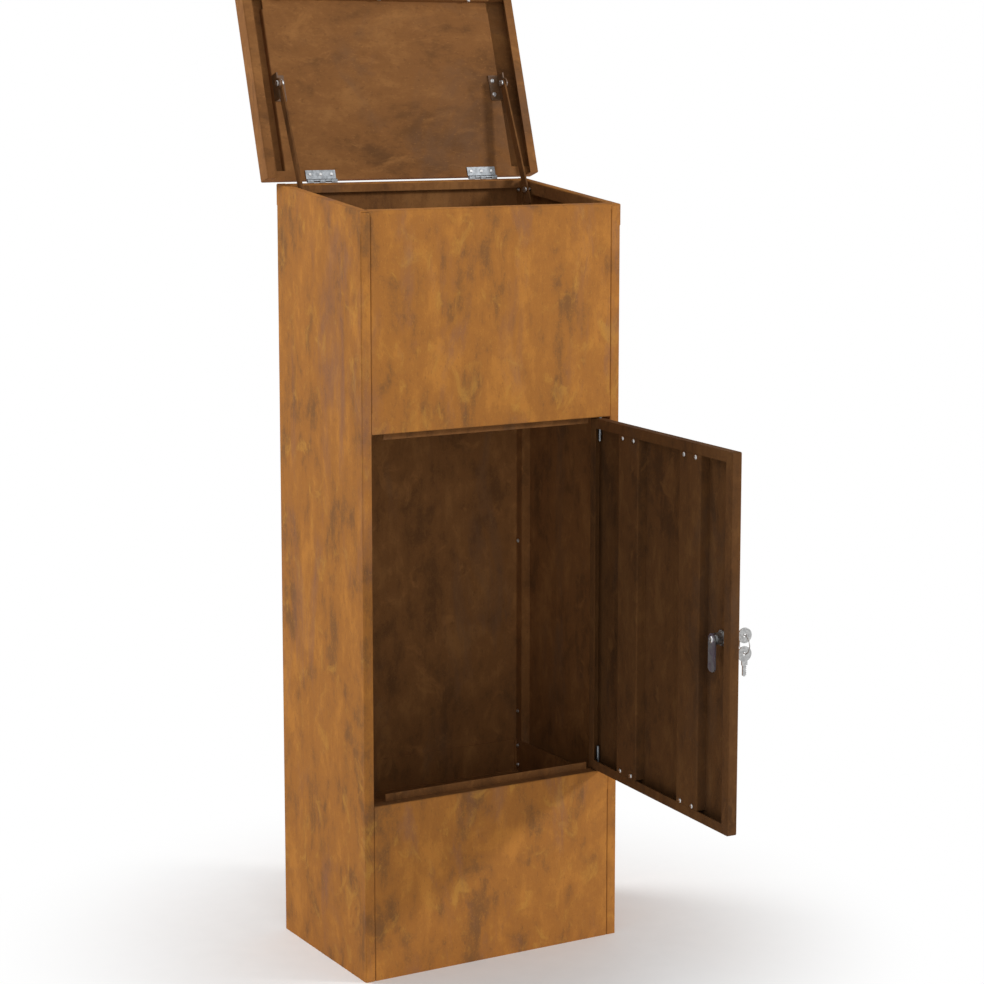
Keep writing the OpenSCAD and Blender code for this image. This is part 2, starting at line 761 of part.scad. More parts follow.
module door_panel() {
    tongue_w = stiffener_w - 2 * fold_r - 2 * move_gap;
    color(rust_dark) difference() {
        at_door() {
            translate([pivot_edge, face_y, door_z]) rotate([90, 0, 180]) tray(door_w, door_h, door_t, lip_w);
            for (c = [stiffener_near, stiffener_far],
                z = [door_z + lip_w - 4, door_z + door_h - lip_w - tongue_l])
                translate([pivot_edge - c - tongue_w / 2, lips_y - 2 * sheet_t, z])
                    cube([tongue_w, sheet_t, tongue_l + 4]);
        }
        stiffener_screw_places() translate([0, 0, -4]) cylinder(r = screw_r, h = 6);
        at_door() {
            for (z = [door_z - 5, door_z + door_h - 5]) translate([0, 0, z]) cylinder(r = pivot_r, h = 10);
            translate([lock_x, face_y - 1, lock_z]) rotate([-90, 0, 0]) cylinder(r = lock_r, h = 6);
        }
    }
}

// Channel that stands on the door's sheet between the top and bottom lips.
module stiffener(centre) {
    len = door_h - 2 * lip_w - 2 * move_gap;
    color(rust_dark) difference() {
        at_door() translate([pivot_edge - centre + stiffener_w / 2, face_y + sheet_t, door_z + lip_w + move_gap])
            rotate(90) sheet_path([[door_t - sheet_t, 90], [stiffener_w, 90], [door_t - sheet_t, 0]], len);
        stiffener_screw_places() translate([0, 0, -3]) cylinder(r = screw_r, h = 6);
    }
}

module hinge_side_stiffener() {
    stiffener(stiffener_near);
}

module lock_side_stiffener() {
    stiffener(stiffener_far);
}

module stiffener_screws() {
    color(zinc) stiffener_screw_places() pan_screw(2 * sheet_t);
}

// Pivot pin with a collar inside the door; it points up from z = 0 at the door's edge.
module pivot_pin() {
    color(zinc) {
        translate([0, 0, -pin_below]) cylinder(r = pivot_r, h = pin_below + door_gap + sheet_t + pin_above);
        translate([0, 0, -sheet_t - 2]) cylinder(r = pivot_r + 2, h = 2);
    }
}

module door_pivot_top() {
    at_door() translate([0, 0, door_z + door_h]) pivot_pin();
}

module door_pivot_bottom() {
    at_door() translate([0, 0, door_z]) mirror([0, 0, 1]) pivot_pin();
}

// ---------- lock and keys ----------

// Frame of the lock: origin on the door's face, +Z along the lock into the box, +Y up.
module at_lock() {
    at_door() translate([lock_x, face_y, lock_z]) rotate([-90, 0, 0]) mirror([0, 1, 0]) children();
}

module lock_body() {
    color(zinc) at_lock() difference() {
        union() {
            cylinder(r = lock_r, h = lock_len);
            translate([0, 0, -1.8]) cylinder(r1 = lock_r + 1.4, r2 = lock_r + 2.4, h = 1.8);
        }
        translate([0, 0, -3]) cylinder(r = plug_r + run_gap, h = lock_len + 6);
    }
}

module lock_nut() {
    color(zinc) at_lock() translate([0, 0, sheet_t]) difference() {
        cylinder(r = lock_r + 4, h = 2.5, $fn = 6);
        translate([0, 0, -1]) cylinder(r = lock_r, h = 5);
    }
}

// Square end of the plug that drives the cam.
plug_square = 6.5;

module lock_plug() {
    color(zinc) at_lock() difference() {
        union() {
            translate([0, 0, -1.8]) cylinder(r = plug_r, h = cam_y + 1.8);
            translate([-plug_square / 2, -plug_square / 2, cam_y - 1]) cube([plug_square, plug_square, cam_t + 1]);
        }
        translate([-1.1, -3.6, -3]) cube([2.2, 7.2, 3 + key_depth + 0.5]);
        translate([0, 0, key_depth + 1.5]) cylinder(r = screw_r, h = 20);
    }
}

key_depth = 9;                           // blade inside the plug

module lock_cam() {
    color(zinc) at_lock() translate([0, 0, cam_y]) difference() {
        union() {
            cylinder(r = cam_tail, h = cam_t);
            translate([-cam_w / 2, -cam_reach + 4, 0]) cube([cam_w, cam_reach - 4, cam_t]);
            linear_extrude(cam_t) polygon([[-cam_w / 2, -cam_reach + 4], [cam_w / 2, -cam_reach + 4],
                [cam_w / 2 - 4, -cam_reach], [-cam_w / 2 + 4, -cam_reach]]);
        }
        translate([-plug_square / 2, -plug_square / 2, -1]) cube([plug_square, plug_square, cam_t + 2]);
    }
}

module cam_screw() {
    color(zinc) at_lock() translate([0, 0, cam_y + cam_t]) pan_screw(cam_y + cam_t - key_depth - 2, screw_r, 4.6, 2);
}

// Flat key drawn in the X-Y plane of its bow: the blade points to +X, the hole is at the origin.
module key_blank(blade_l) {
    linear_extrude(bow_t, center = true) difference() {
        union() {
            circle(r = bow_r);
            translate([0, -4.5]) square([bow_r + 5, 9]);
            translate([0, -3]) square([bow_r + 5 + blade_l, 6]);
        }
        circle(r = bow_hole_r);
    }
}

module key() {
    color(zinc) at_lock() translate([0, 0, bow_y]) rotate([0, -90, 0])
        key_blank(key_depth - bow_y - bow_r - 5);
}

// Frame of the ring: origin at the centre of the bow's hole, +Z up, +X along the lock's axis.
module at_ring() {
    at_lock() translate([0, 0, bow_y]) rotate([-90, -90, 0]) children();
}

module key_ring() {
    color(zinc) at_ring() translate([0, 0, key_ring_z]) rotate([0, 90, 0])
        rotate_extrude() translate([ring_r, 0]) circle(r = ring_wire_r);
}

module spare_key() {
    color(zinc) at_ring() translate([0, 0, 2 * key_ring_z]) rotate([90, 90, 0]) key_blank(15);
}

left_side_panel();
right_side_panel();
back_panel();
upper_front_panel();
lower_front_panel();
floor_tray();
base_tray();
panel_screws();
stay_studs();
pivot_washer();
left_hinge_fixed_leaf();
right_hinge_fixed_leaf();
hinge_pins();
fixed_leaf_screws();
left_hinge_lid_leaf();
right_hinge_lid_leaf();
lid_leaf_screws();
lid_panel();
lid_liner();
lid_front_rail();
lid_rail_screws();
left_stay_bracket();
right_stay_bracket();
bracket_screws();
stay_bolts();
stay_bolt_nuts();
left_lid_stay();
right_lid_stay();
door_panel();
hinge_side_stiffener();
lock_side_stiffener();
stiffener_screws();
door_pivot_top();
door_pivot_bottom();
lock_body();
lock_nut();
lock_plug();
lock_cam();
cam_screw();
key();
key_ring();
spare_key();
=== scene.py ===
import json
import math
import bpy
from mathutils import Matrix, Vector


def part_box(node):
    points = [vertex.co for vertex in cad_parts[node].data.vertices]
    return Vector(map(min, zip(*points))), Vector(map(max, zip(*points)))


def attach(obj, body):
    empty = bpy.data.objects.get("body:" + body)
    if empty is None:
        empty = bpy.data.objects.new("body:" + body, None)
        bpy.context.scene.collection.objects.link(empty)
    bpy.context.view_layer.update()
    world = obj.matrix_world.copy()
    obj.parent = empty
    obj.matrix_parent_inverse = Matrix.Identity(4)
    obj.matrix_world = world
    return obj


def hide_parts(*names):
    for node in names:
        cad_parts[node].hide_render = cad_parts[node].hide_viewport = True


bl_info = {
    "name": "Rusted Parcel Mailbox",
    "version": (1, 0, 0),
    "blender": (4, 5, 0),
    "location": "View3D > Sidebar > Mailbox",
    "description": "Finishes the folded-sheet parcel mailbox: rust patina, zinc hardware, keys and stage",
    "category": "Object",
}

import bmesh
import bpy
from mathutils import Matrix, Vector

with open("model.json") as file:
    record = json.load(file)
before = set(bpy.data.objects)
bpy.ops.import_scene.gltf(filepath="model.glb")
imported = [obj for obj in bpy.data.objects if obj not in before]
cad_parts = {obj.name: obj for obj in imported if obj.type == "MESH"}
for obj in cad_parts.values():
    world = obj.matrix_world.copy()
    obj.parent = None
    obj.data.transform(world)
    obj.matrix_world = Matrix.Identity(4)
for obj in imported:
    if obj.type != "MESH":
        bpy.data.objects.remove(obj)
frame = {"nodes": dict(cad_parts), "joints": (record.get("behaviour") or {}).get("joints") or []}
NODES = frame["nodes"]
JOINTS = {j["name"]: j for j in frame["joints"]}
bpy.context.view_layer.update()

# Planes just inside the sheet's outer faces, in metres; the outer coat starts there.
SIDE_FACE = 0.2041
FRONT_FACE = 0.1291
RIM_FRONT = (0, -0.130, 1.067)
RIM_FACE = -0.0009
DOOR_FACE = -0.0051
LID_FACE = 0.0125
# The rim's rise from front to back, over the cabinet's depth.
RIM_RISE, RIM_RUN = 0.027, 0.260

# The door's pivot, and its axis through it inwards at rest.
DOOR_PIVOT = Vector(JOINTS["door_hinge"]["pos_m"])
DOOR_IN = Vector(JOINTS["lock_turn"]["axis"])
# The lid's hinge line, and its axis through it outwards at rest.
LID_HINGE = Vector(JOINTS["lid_hinge"]["pos_m"])
LID_TURN = math.radians(JOINTS["lid_hinge"]["range_deg"][1])
RIM_SLOPE = math.atan2(RIM_RISE, RIM_RUN)
LID_OUT = Vector((0, -math.sin(RIM_SLOPE - LID_TURN), math.cos(RIM_SLOPE - LID_TURN)))
KEY_HOLE = Vector(JOINTS["spare_key_swing"]["pos_m"])
RING_WIRE = 0.0007  # radius of the key ring's wire

CABINET_PANELS = ("left_side_panel", "right_side_panel", "back_panel", "upper_front_panel", "lower_front_panel")
SCREWS = ("panel_screws", "fixed_leaf_screws", "lid_leaf_screws", "lid_rail_screws", "bracket_screws",
          "stiffener_screws", "cam_screw", "stay_bolts", "stay_bolt_nuts", "stay_studs")


# ---------------------------------------------------------------- node helpers

def add(tree, kind, links=None, **settings):
    """A node with its settings; links names its inputs and gives each a socket or a value."""
    node = tree.nodes.new(kind)
    for name, value in settings.items():
        setattr(node, name, value)
    for name, value in (links or {}).items():
        socket = node.inputs[name]
        if isinstance(value, bpy.types.NodeSocket):
            tree.links.new(value, socket)
        else:
            socket.default_value = value
    return node


def maths(tree, operation, a, b=0.0, clamp=False):
    return add(tree, "ShaderNodeMath", {0: a, 1: b}, operation=operation, use_clamp=clamp).outputs[0]


def ramp(tree, value, low, high, to_low=0.0, to_high=1.0):
    """value from low..high to to_low..to_high, smoothly and clamped."""
    node = add(tree, "ShaderNodeMapRange", {"Value": value, "From Min": low, "From Max": high,
                                            "To Min": to_low, "To Max": to_high},
               interpolation_type="SMOOTHSTEP")
    return node.outputs["Result"]


def blend_colour(tree, factor, a, b, blend_type="MIX"):
    node = add(tree, "ShaderNodeMix", data_type="RGBA", blend_type=blend_type)
    for socket, value in ((node.inputs[0], factor), (node.inputs[6], a), (node.inputs[7], b)):
        if isinstance(value, bpy.types.NodeSocket):
            tree.links.new(value, socket)
        else:
            socket.default_value = value
    return node.outputs[2]


def scaled(tree, vector, scale, offset=(0, 0, 0)):
    node = add(tree, "ShaderNodeMapping", {"Vector": vector, "Scale": scale, "Location": offset},
               vector_type="POINT")
    return node.outputs["Vector"]


def noise(tree, vector, scale, detail=4.0, roughness=0.55, distortion=0.0):
    node = add(tree, "ShaderNodeTexNoise", {"Vector": vector, "Scale": scale, "Detail": detail,
                                            "Roughness": roughness, "Distortion": distortion})
    return node.outputs["Fac"]


def along(tree, vector, direction, start=(0, 0, 0)):
    """How far a point lies from start along a direction."""
    shift = add(tree, "ShaderNodeVectorMath", {0: vector, 1: tuple(start)}, operation="SUBTRACT")
    node = add(tree, "ShaderNodeVectorMath", {0: shift.outputs[0], 1: tuple(direction)}, operation="DOT_PRODUCT")
    return node.outputs["Value"]


def rgba(colour):
    return (colour[0], colour[1], colour[2], 1.0)


def new_group(name, inputs, outputs):
    tree = bpy.data.node_groups.new(name, "ShaderNodeTree")
    for kind, label, default in inputs:
        socket = tree.interface.new_socket(label, in_out="INPUT", socket_type=kind)
        if default is not None:
            socket.default_value = default
    for kind, label in outputs:
        tree.interface.new_socket(label, in_out="OUTPUT", socket_type=kind)
    return tree, tree.nodes.new("NodeGroupInput").outputs, tree.nodes.new("NodeGroupOutput").inputs


def group_node(tree, group, links):
    node = add(tree, "ShaderNodeGroup", node_tree=group)
    for name, value in links.items():
        if isinstance(value, bpy.types.NodeSocket):
            tree.links.new(value, node.inputs[name])
        else:
            node.inputs[name].default_value = value
    return node.outputs


def new_material(name, **constants):
    material = bpy.data.materials.new(name)
    material.use_nodes = True
    tree = material.node_tree
    shader = tree.nodes["Principled BSDF"]
    for key, value in constants.items():
        shader.inputs[key.replace("_", " ")].default_value = value
    point = add(tree, "ShaderNodeTexCoord").outputs["Object"]
    return material, tree, shader, point


def bumped(tree, shader, height, distance, strength=1.0):
    node = add(tree, "ShaderNodeBump", {"Height": height, "Distance": distance, "Strength": strength})
    tree.links.new(node.outputs["Normal"], shader.inputs["Normal"])


# ---------------------------------------------------------------- shared effects

def patina_group():
    """Mottled rust: soft patches, vertical runs, ochre bloom, violet-brown stains and fine pits."""
    found = bpy.data.node_groups.get("Rust Patina")
    if found:
        return found
    tree, given, out = new_group(
        "Rust Patina",
        [("NodeSocketVector", "Vector", None), ("NodeSocketColor", "Light", (0.44, 0.185, 0.045, 1)),
         ("NodeSocketColor", "Mid", (0.34, 0.138, 0.036, 1)), ("NodeSocketColor", "Dark", (0.22, 0.095, 0.03, 1)),
         ("NodeSocketColor", "Ochre", (0.5, 0.24, 0.05, 1)), ("NodeSocketColor", "Violet", (0.2, 0.11, 0.075, 1)),
         ("NodeSocketFloat", "Patches", 11.0), ("NodeSocketFloat", "Stain", 0.5)],
        [("NodeSocketColor", "Color"), ("NodeSocketFloat", "Roughness"), ("NodeSocketFloat", "Height")])
    at = given["Vector"]
    size = given["Patches"]
    drawn = scaled(tree, at, (1, 1, 0.55))
    runs = scaled(tree, at, (1, 1, 0.13), (0.3, 0.7, 0.1))
    broad = noise(tree, drawn, size, 5, 0.6, 0.5)
    middle = noise(tree, scaled(tree, at, (1, 1, 0.6), (3.1, 1.7, 2.3)), maths(tree, "MULTIPLY", size, 3.3),
                   6, 0.62, 0.3)
    fine = noise(tree, at, maths(tree, "MULTIPLY", size, 22.0), 5, 0.7)
    streaks = noise(tree, runs, 150.0, 4, 0.6)
    long_runs = noise(tree, scaled(tree, at, (1, 1, 0.2), (5.0, 2.0, 1.0)), 42.0, 4, 0.6, 0.2)
    total = maths(tree, "MULTIPLY", broad, 0.46)
    for value, share in ((middle, 0.26), (fine, 0.1), (streaks, 0.09), (long_runs, 0.09)):
        total = maths(tree, "ADD", total, maths(tree, "MULTIPLY", value, share))
    tone = ramp(tree, total, 0.35, 0.65)
    low = blend_colour(tree, ramp(tree, tone, 0.0, 0.5), given["Dark"], given["Mid"])
    colour = blend_colour(tree, ramp(tree, tone, 0.5, 1.0), low, given["Light"])
    bloom = noise(tree, scaled(tree, at, (1, 1, 0.7), (7.2, 4.4, 9.1)), maths(tree, "MULTIPLY", size, 1.9),
                  7, 0.68, 0.8)
    colour = blend_colour(tree, ramp(tree, bloom, 0.54, 0.7, 0.0, 0.6), colour, given["Ochre"])
    stains = noise(tree, scaled(tree, at, (1, 1, 0.3), (1.9, 8.3, 0.6)), maths(tree, "MULTIPLY", size, 0.8),
                   6, 0.66, 0.6)
    stain = maths(tree, "MULTIPLY", ramp(tree, stains, 0.52, 0.68), given["Stain"])
    stain = maths(tree, "MULTIPLY", stain, ramp(tree, long_runs, 0.3, 0.6, 0.45, 1.0))
    colour = blend_colour(tree, stain, colour, given["Violet"])
    flecks = noise(tree, scaled(tree, at, (1, 1, 0.6)), 520.0, 3, 0.6)
    colour = blend_colour(tree, ramp(tree, flecks, 0.6, 0.7, 0.0, 0.35), colour, given["Ochre"])
    pits = noise(tree, scaled(tree, at, (1, 1, 0.45), (2.2, 2.9, 4.0)), 330.0, 3, 0.6)
    pit = ramp(tree, pits, 0.6, 0.7)
    colour = blend_colour(tree, maths(tree, "MULTIPLY", pit, 0.4), colour, given["Dark"])
    tree.links.new(colour, out["Color"])
    tree.links.new(ramp(tree, maths(tree, "ADD", maths(tree, "MULTIPLY", middle, 0.6),
                                    maths(tree, "MULTIPLY", fine, 0.4)), 0.3, 0.7, 0.84, 0.96), out["Roughness"])
    height = maths(tree, "ADD", maths(tree, "MULTIPLY", middle, 0.5), maths(tree, "MULTIPLY", fine, 0.5))
    tree.links.new(maths(tree, "SUBTRACT", height, maths(tree, "MULTIPLY", pit, 0.3)), out["Height"])
    return tree


def plating_group():
    """Zinc or nickel plating: faint spangle, hairline brushing and dull handling marks."""
    found = bpy.data.node_groups.get("Plated Metal")
    if found:
        return found
    tree, given, out = new_group(
        "Plated Metal",
        [("NodeSocketVector", "Vector", None), ("NodeSocketColor", "Bright", (0.66, 0.68, 0.7, 1)),
         ("NodeSocketColor", "Dull", (0.42, 0.44, 0.46, 1)), ("NodeSocketFloat", "Spangle", 260.0),
         ("NodeSocketFloat", "Smooth", 0.26)],
        [("NodeSocketColor", "Color"), ("NodeSocketFloat", "Roughness"), ("NodeSocketFloat", "Height")])
    at = given["Vector"]
    cells = add(tree, "ShaderNodeTexVoronoi", {"Vector": at, "Scale": given["Spangle"]}, feature="F1")
    grey = add(tree, "ShaderNodeSeparateColor", {"Color": cells.outputs["Color"]}).outputs["Red"]
    brush = noise(tree, scaled(tree, at, (0.08, 1, 1)), 1900.0, 3, 0.6)
    marks = noise(tree, at, 210.0, 5, 0.65)
    mix = maths(tree, "ADD", maths(tree, "MULTIPLY", grey, 0.3), maths(tree, "MULTIPLY", marks, 0.7))
    tree.links.new(blend_colour(tree, ramp(tree, mix, 0.3, 0.7), given["Dull"], given["Bright"]), out["Color"])
    rough = maths(tree, "ADD", given["Smooth"], ramp(tree, marks, 0.35, 0.7, 0.0, 0.2))
    tree.links.new(maths(tree, "ADD", rough, maths(tree, "MULTIPLY", brush, 0.08)), out["Roughness"])
    tree.links.new(maths(tree, "ADD", maths(tree, "MULTIPLY", brush, 0.5), maths(tree, "MULTIPLY", grey, 0.5)),
                   out["Height"])
    return tree


# ---------------------------------------------------------------- rust finishes

def outer_coat(tree, point, values, stretch=(1, 1, 1)):
    return group_node(tree, patina_group(), {
        "Vector": scaled(tree, point, stretch), "Light": rgba(values.light), "Mid": rgba(values.mid),
        "Dark": rgba(values.dark), "Ochre": rgba(values.ochre), "Violet": rgba(values.violet),
        "Patches": values.patches, "Stain": values.stain})


def inner_coat(tree, point, values, stretch, tone):
    """The browner coat; tone scales its three colours per part, and so paints light and shade: each part's coat
    is made lighter or darker for how light falls on it.
    """
    # the tone differs from part to part as painted light and painted shade: lighter on the lid's underside and in
    # the cabinet, darker on the door's inside
    light, mid, dark = ([min(1.0, c * tone) for c in colour]
                        for colour in (values.inner_light, values.inner_mid, values.inner_dark))
    return group_node(tree, patina_group(), {
        "Vector": scaled(tree, point, stretch, (0.7, 0.2, 0.4)), "Light": rgba(light), "Mid": rgba(mid),
        "Dark": rgba(dark), "Ochre": rgba([c * 1.2 for c in light]),
        "Violet": rgba([c * f for c, f in zip(mid, (0.72, 0.9, 1.5))]),
        "Patches": values.patches * 1.1, "Stain": values.stain})


def coated_sheet(name, values, outside=None, stretch=(1, 1, 1), tone=1.0):
    """Sheet with the weathered coat outside and the browner one inside; outside() masks the first. tone scales
    the inner coat: above 1 it is painted light, below 1 painted shade.
    """
    material, tree, shader, point = new_material(name, Metallic=0.0, Specular_IOR_Level=0.1)
    # tone carries painted light and painted shade into the inner coat
    inner = inner_coat(tree, point, values, stretch, tone)
    colour, rough, height = inner["Color"], inner["Roughness"], inner["Height"]
    if outside:
        mask = outside(tree, point)
        outer = outer_coat(tree, point, values, stretch)
        colour = blend_colour(tree, mask, colour, outer["Color"])
        rough = outer["Roughness"]
        height = outer["Height"]
    tree.links.new(colour, shader.inputs["Base Color"])
    tree.links.new(rough, shader.inputs["Roughness"])
    bumped(tree, shader, height, 0.0006, 0.6)
    return material


def any_of(tree, masks):
    total = masks[0]
    for mask in masks[1:]:
        total = maths(tree, "MAXIMUM", total, mask)
    return total


def beyond(tree, value, limit, soft=0.0003):
    return ramp(tree, value, limit - soft, limit + soft)


def short_of(tree, value, limit, soft=0.0003):
    return ramp(tree, value, limit - soft, limit + soft, 1.0, 0.0)


def cabinet_outside(tree, point):
    """Outer walls, stiles and the top of the rim."""
    axes = add(tree, "ShaderNodeSeparateXYZ", {"Vector": point}).outputs
    rim = Vector((0, -math.sin(RIM_SLOPE), math.cos(RIM_SLOPE)))
    return any_of(tree, [beyond(tree, maths(tree, "ABSOLUTE", axes["X"]), SIDE_FACE),
                         beyond(tree, maths(tree, "ABSOLUTE", axes["Y"]), FRONT_FACE),
                         beyond(tree, along(tree, point, rim, RIM_FRONT), RIM_FACE)])


def door_outside(tree, point):
    """The door's face."""
    return short_of(tree, along(tree, point, DOOR_IN, DOOR_PIVOT), DOOR_FACE)


def lid_outside(tree, point):
    """The lid's top."""
    return beyond(tree, along(tree, point, LID_OUT, LID_HINGE), LID_FACE)


def assign(material, *names):
    for name in names:
        slots = NODES[name].data.materials
        slots.clear()
        slots.append(material)


# ---------------------------------------------------------------- metal finishes

def plated(name, bright, dull, spangle, smooth):
    material, tree, shader, point = new_material(name, Metallic=1.0)
    coat = group_node(tree, plating_group(), {"Vector": point, "Bright": rgba(bright), "Dull": rgba(dull),
                                              "Spangle": spangle, "Smooth": smooth})
    tree.links.new(coat["Color"], shader.inputs["Base Color"])
    tree.links.new(coat["Roughness"], shader.inputs["Roughness"])
    bumped(tree, shader, coat["Height"], 0.00004, 0.5)
    return material


def blued_steel(name, colour, tint, metallic):
    """Dark steel with cloudy patches of heat tint and worn, lighter spots."""
    material, tree, shader, point = new_material(name, Metallic=metallic)
    clouds = noise(tree, point, 70.0, 5, 0.6, 0.4)
    wear = noise(tree, point, 420.0, 4, 0.65)
    base = blend_colour(tree, ramp(tree, clouds, 0.38, 0.62), rgba(colour), rgba(tint))
    worn = rgba([min(1, 1.8 * c) for c in colour])
    base = blend_colour(tree, ramp(tree, wear, 0.58, 0.72, 0.0, 0.5), base, worn)
    tree.links.new(base, shader.inputs["Base Color"])
    tree.links.new(ramp(tree, wear, 0.3, 0.7, 0.34, 0.56), shader.inputs["Roughness"])
    bumped(tree, shader, wear, 0.00008, 0.5)
    return material


def moulded_nylon(name, colour):
    material, tree, shader, point = new_material(name, Metallic=0.0)
    soil = noise(tree, point, 240.0, 4, 0.6)
    tree.links.new(blend_colour(tree, ramp(tree, soil, 0.45, 0.7, 0.0, 0.5), rgba(colour), (0.42, 0.3, 0.18, 1)),
                   shader.inputs["Base Color"])
    tree.links.new(ramp(tree, soil, 0.3, 0.7, 0.4, 0.6), shader.inputs["Roughness"])
    bumped(tree, shader, soil, 0.00005, 0.4)
    return material


# ---------------------------------------------------------------- settings

def colour_property(name, description, default):
    return bpy.props.FloatVectorProperty(name=name, description=description, default=default, subtype="COLOR",
                                         size=3, min=0.0, max=1.0)


class PatinaSettings(bpy.types.PropertyGroup):
    """Colours and scale of the rust coat."""
    light: colour_property("Light rust", "Brightest orange-brown of the outer coat", (0.47, 0.194, 0.041))
    mid: colour_property("Rust", "Main orange-brown of the outer coat", (0.365, 0.146, 0.034))
    dark: colour_property("Dark rust", "Brown of the outer coat's darker patches", (0.215, 0.096, 0.033))
    ochre: colour_property("Ochre bloom", "Yellow-brown bloom on the outer coat", (0.5, 0.245, 0.05))
    violet: colour_property("Violet stain", "Purple-brown stains on the outer coat", (0.21, 0.105, 0.072))
    inner_light: colour_property("Inner light", "Brightest brown inside", (0.21, 0.094, 0.03))
    inner_mid: colour_property("Inner rust", "Main brown inside", (0.16, 0.068, 0.022))
    inner_dark: colour_property("Inner dark", "Darkest brown inside", (0.1, 0.044, 0.016))
    patches: bpy.props.FloatProperty(name="Patches", description="Patches of the coat for each metre",
                                     default=15.0, min=2.0, max=60.0)
    stain: bpy.props.FloatProperty(name="Stain", description="Strength of the violet stains", default=0.55,
                                   min=0.0, max=1.0, subtype="FACTOR")


class HardwareSettings(bpy.types.PropertyGroup):
    """Finishes of the hinges, screws, lock and keys."""
    zinc: colour_property("Zinc", "Colour of the plated hinges", (0.29, 0.305, 0.32))
    screw: colour_property("Screws", "Colour of the plated screws", (0.72, 0.72, 0.72))
    nickel: colour_property("Nickel", "Colour of the lock and the keys", (0.46, 0.46, 0.455))
    cam: colour_property("Cam", "Colour of the lock's blued cam", (0.25, 0.25, 0.25))
    bracket: colour_property("Brackets", "Colour of the stays' dark brackets", (0.11, 0.058, 0.026))
    nylon: colour_property("Nylon", "Colour of the door's pivot washer", (0.62, 0.58, 0.5))


class KeySettings(bpy.types.PropertyGroup):
    """Sizes of the flat keys."""
    bow_radius: bpy.props.FloatProperty(name="Bow radius", description="Radius of a key's bow", default=0.0105,
                                        min=0.006, max=0.016, subtype="DISTANCE", unit="LENGTH")
    hole_radius: bpy.props.FloatProperty(name="Hole radius", description="Radius of the hole in a bow",
                                         default=0.0024, min=0.0015, max=0.004, subtype="DISTANCE", unit="LENGTH")
    thickness: bpy.props.FloatProperty(name="Thickness", description="Thickness of a key", default=0.002,
                                       min=0.001, max=0.003, subtype="DISTANCE", unit="LENGTH")
    blade_width: bpy.props.FloatProperty(name="Blade width", description="Width of a key's blade", default=0.006,
                                         min=0.003, max=0.009, subtype="DISTANCE", unit="LENGTH")
    cuts: bpy.props.IntProperty(name="Cuts", description="Notches along a key's blade", default=5, min=2, max=9)


class StageSettings(bpy.types.PropertyGroup):
    """Floor, light and camera."""
    floor: colour_property("Floor", "Colour of the plain floor", (0.93, 0.93, 0.93))
    ambient: bpy.props.FloatProperty(name="Ambient", description="Strength of the even light all round",
                                     default=0.43, min=0.0, max=2.0)
    key_power: bpy.props.FloatProperty(name="Key light", description="Power of the light on the right",
                                       default=170.0, min=0.0, max=2000.0, subtype="POWER", unit="POWER")
    side_power: bpy.props.FloatProperty(name="Side light", description="Power of the light on the left",
                                        default=72.0, min=0.0, max=2000.0, subtype="POWER", unit="POWER")
    fill_power: bpy.props.FloatProperty(name="Fill light", description="Power of the soft light in front",
                                        default=26.0, min=0.0, max=2000.0, subtype="POWER", unit="POWER")
    lens: bpy.props.FloatProperty(name="Lens", description="Focal length on a 36 mm wide sensor", default=90.7,
                                  min=20.0, max=300.0, unit="CAMERA")


# ---------------------------------------------------------------- keys

